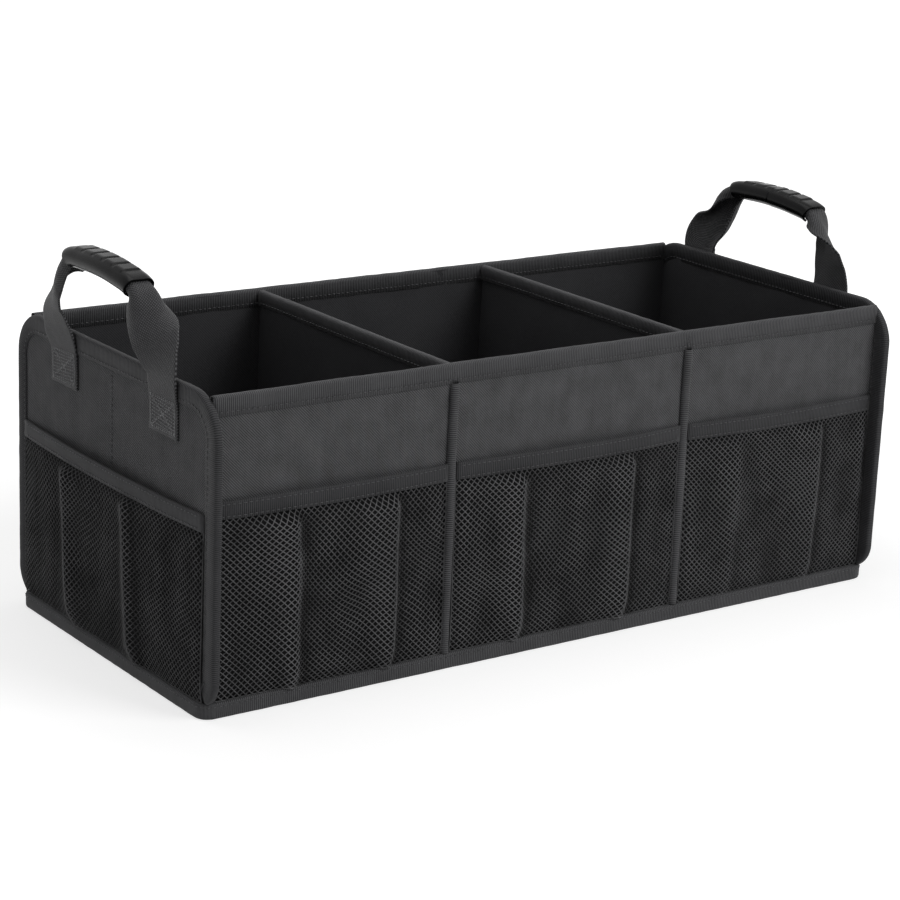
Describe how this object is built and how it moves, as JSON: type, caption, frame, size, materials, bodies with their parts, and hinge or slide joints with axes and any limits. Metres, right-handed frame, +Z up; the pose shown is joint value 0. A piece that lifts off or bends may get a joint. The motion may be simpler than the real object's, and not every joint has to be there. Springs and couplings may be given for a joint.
{
  "type": "car trunk organizer",
  "caption": "Collapsible open-top storage box for a car trunk: board-stiffened cloth walls with compartments, net pockets outside and a webbing handle on each end.",
  "frame": {"origin": "centre of the footprint, on the ground that the base stands on", "axes": "+X along the box to the right-hand end, -Y to the front with the net pockets, +Z up"},
  "size_m": [0.6726, 0.304, 0.3118],
  "materials": {
    "outer_cloth": "matt woven twill, coated inside",
    "lining_cloth": "matt plain lining",
    "binding_tape": "matt ribbed tape, stitched",
    "pocket_net": "matt diamond mesh",
    "stiff_board": "matt",
    "floor_board": "matt woven cloth",
    "handle_webbing": "matt, ribbed weave",
    "grip_rubber": "semi-gloss moulded"
  },
  "bodies": {
    "root": {"back_board_left": "stiff_board", "back_board_middle": "stiff_board", "back_board_right": "stiff_board", "back_cloth": "outer_cloth", "back_hem_tape": "binding_tape", "back_lining": "lining_cloth", "back_rib_left": "binding_tape", "back_rib_right": "binding_tape", "base_binding": "binding_tape", "divider_left_board": "stiff_board", "divider_left_cover": "lining_cloth", "divider_left_tape": "binding_tape", "divider_right_board": "stiff_board", "divider_right_cover": "lining_cloth", "divider_right_tape": "binding_tape", "floor_board_left": "floor_board", "floor_board_middle": "floor_board", "floor_board_right": "floor_board", "floor_cloth": "outer_cloth", "front_board_left": "stiff_board", "front_board_middle": "stiff_board", "front_board_right": "stiff_board", "front_cloth": "outer_cloth", "front_hem_tape": "binding_tape", "front_left_band": "binding_tape", "front_left_net": "pocket_net", "front_lining": "lining_cloth", "front_middle_band": "binding_tape", "front_middle_net": "pocket_net", "front_rib_left": "binding_tape", "front_rib_right": "binding_tape", "front_right_band": "binding_tape", "front_right_net": "pocket_net", "left_end_band": "binding_tape", "left_end_binding": "binding_tape", "left_end_board_back": "stiff_board", "left_end_board_front": "stiff_board", "left_end_cloth": "outer_cloth", "left_end_lining": "lining_cloth", "left_end_net": "pocket_net", "left_handle_grip": "grip_rubber", "left_handle_strap": "handle_webbing", "right_end_band": "binding_tape", "right_end_binding": "binding_tape", "right_end_board_back": "stiff_board", "right_end_board_front": "stiff_board", "right_end_cloth": "outer_cloth", "right_end_lining": "lining_cloth", "right_end_net": "pocket_net", "right_handle_grip": "grip_rubber", "right_handle_strap": "handle_webbing"}
  },
  "joints": []
}
